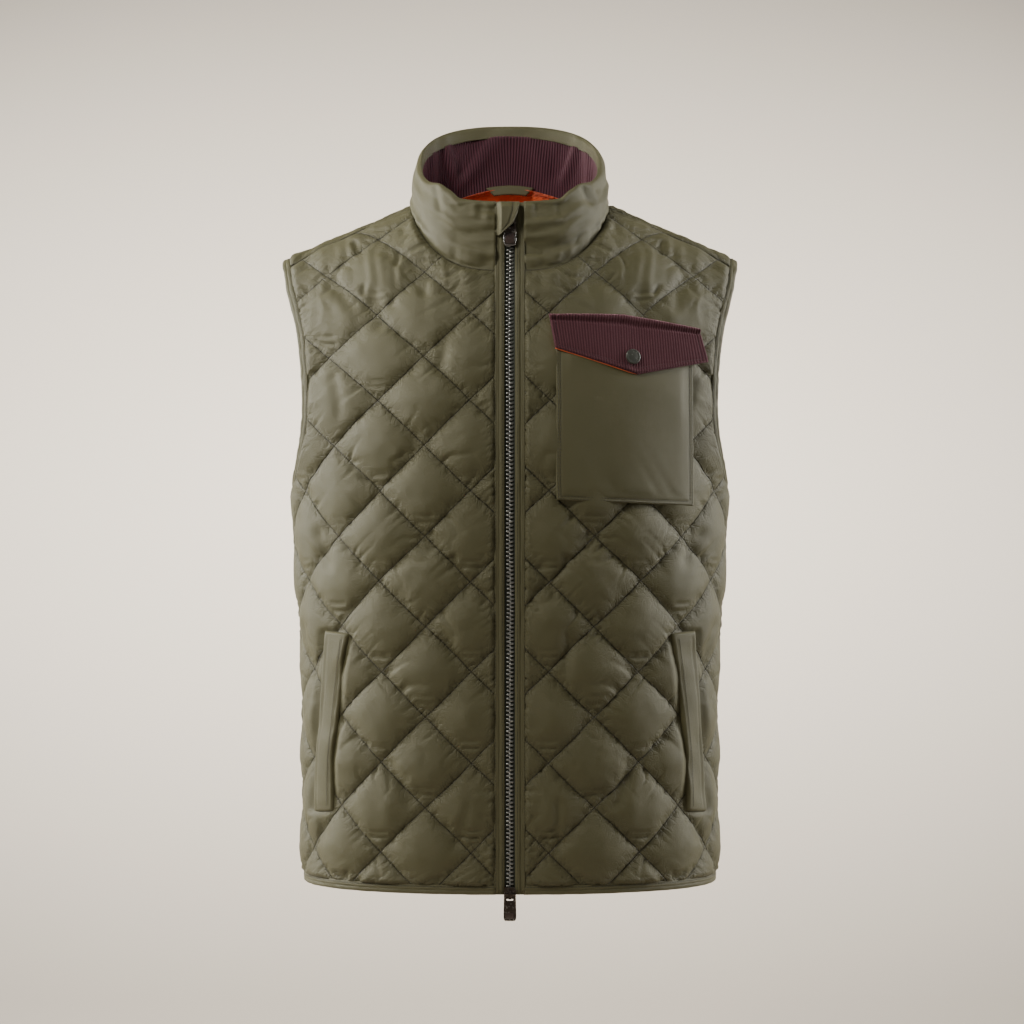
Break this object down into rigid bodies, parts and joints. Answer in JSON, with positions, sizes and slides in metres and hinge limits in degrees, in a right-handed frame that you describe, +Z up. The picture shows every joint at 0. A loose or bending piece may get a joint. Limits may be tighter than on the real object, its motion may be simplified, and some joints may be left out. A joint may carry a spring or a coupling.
{
  "type": "quilted vest",
  "caption": "Padded, diamond-quilted sleeveless vest with a stand collar, a two-way front zip, a flapped chest pocket, welted hand pockets and bound armholes, filled out as worn.",
  "frame": {"origin": "on the shoulder line, midway between the shoulders that hold the vest up", "axes": "+Z up, -Y to the front of the garment, +X to the wearer's left"},
  "size_m": [0.4544, 0.2647, 0.7861],
  "materials": {
    "shell": "quilted nylon, soft sheen",
    "collar_shell": "padded nylon, soft sheen",
    "pocket_cloth": "plain nylon, soft sheen",
    "placket": "folded nylon with edge stitching",
    "binding": "woven binding tape",
    "lining": "quilted nylon lining",
    "corduroy": "fine corduroy",
    "zip_tape": "woven zip tape",
    "zip_teeth": "moulded, slightly glossy",
    "slider_metal": "dark enamel",
    "pull_plastic": "dark brown, glossy",
    "snap_metal": "dark matt enamel"
  },
  "bodies": {
    "vest": {"front_left": "shell", "front_right": "shell", "back": "shell", "lining_front_left": "lining", "lining_front_right": "lining", "lining_back": "lining", "armhole_binding_left": "binding", "armhole_binding_right": "binding", "hem_binding": "binding", "collar": "collar_shell", "collar_band": "corduroy", "collar_facing": "binding", "hanger_loop": "binding", "zip_tape_left": "zip_tape", "zip_tape_right": "zip_tape", "zip_placket_left": "placket", "zip_placket_right": "placket", "zip_teeth_left": "zip_teeth", "zip_teeth_right": "zip_teeth", "top_slider": "slider_metal", "bottom_slider": "slider_metal", "chin_guard": "placket", "chest_pocket": "pocket_cloth", "flap_lining": "lining", "pocket_flap": "corduroy", "hand_welt_left": "pocket_cloth", "hand_welt_right": "pocket_cloth", "snap_cap": "snap_metal"},
    "top_pull": {"top_pull": "pull_plastic"},
    "bottom_pull": {"bottom_pull": "pull_plastic"}
  },
  "joints": [
    {"name": "top_pull_swing", "type": "hinge", "parent": "vest", "child": "top_pull", "pos_m": [0, -0.09086, -0.00727], "axis": [-1, 0, 0], "range_deg": [0, 10]},
    {"name": "bottom_pull_swing", "type": "hinge", "parent": "vest", "child": "bottom_pull", "pos_m": [0, -0.1354, -0.656], "axis": [-1, 0, 0], "range_deg": [0, 160]}
  ]
}
